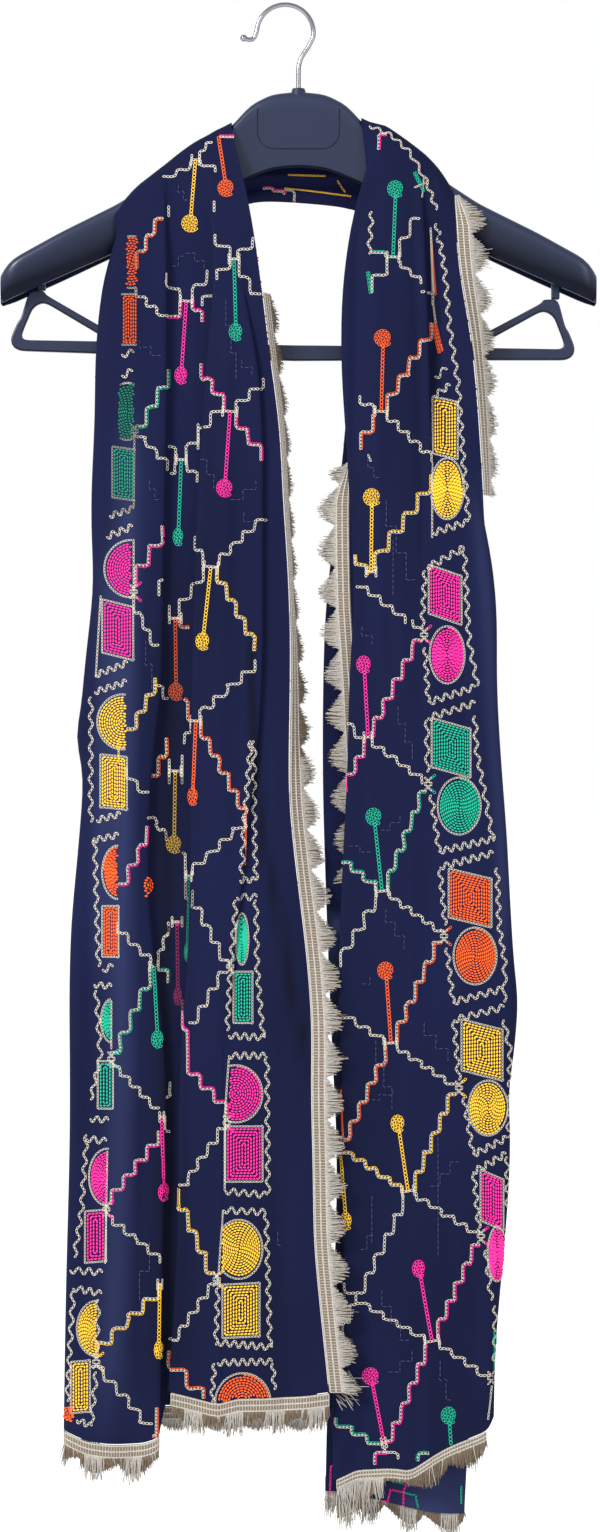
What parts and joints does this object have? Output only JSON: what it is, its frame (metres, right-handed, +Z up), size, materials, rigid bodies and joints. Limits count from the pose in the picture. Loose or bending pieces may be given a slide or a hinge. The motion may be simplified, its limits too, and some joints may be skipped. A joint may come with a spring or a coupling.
{
  "type": "dupatta on a suit hanger",
  "caption": "Long embroidered georgette dupatta with fringed lace edges, draped scarf-like behind the neck and over the arms of a moulded suit hanger.",
  "frame": {"origin": "the point inside the hook where a rail bears, straight above the hanger's middle", "axes": "+Z up, -Y towards the front of the hanger, +X to the viewer's right"},
  "size_m": [0.444, 0.0661, 1.1424],
  "materials": {
    "navy_georgette": "semi-sheer crinkled georgette with chain-stitch embroidery in cream and bright threads",
    "silver_lace": "silver-beige woven heading with scalloped fringe",
    "thread_cream": "cream and silver chain-stitch thread",
    "thread_pink": "glossy pink embroidery thread",
    "thread_green": "glossy teal-green embroidery thread",
    "thread_orange": "glossy orange embroidery thread",
    "thread_yellow": "glossy yellow embroidery thread",
    "hanger_plastic": "satin slate-navy moulded plastic",
    "chrome": "bright chromed wire"
  },
  "bodies": {
    "root": {"hook": "chrome", "hanger_body": "hanger_plastic", "trouser_bar": "hanger_plastic", "neck_band": "navy_georgette", "left_front": "navy_georgette", "left_back": "navy_georgette", "right_front": "navy_georgette", "right_mid": "navy_georgette", "right_back": "navy_georgette", "lace_left_edge": "silver_lace", "lace_left_hem_inner": "silver_lace", "lace_left_hem_outer": "silver_lace", "lace_left_hem_back": "silver_lace", "lace_right_outer": "silver_lace", "lace_right_mid": "silver_lace", "lace_right_hem_front": "silver_lace", "lace_right_hem_back": "silver_lace"}
  },
  "joints": []
}
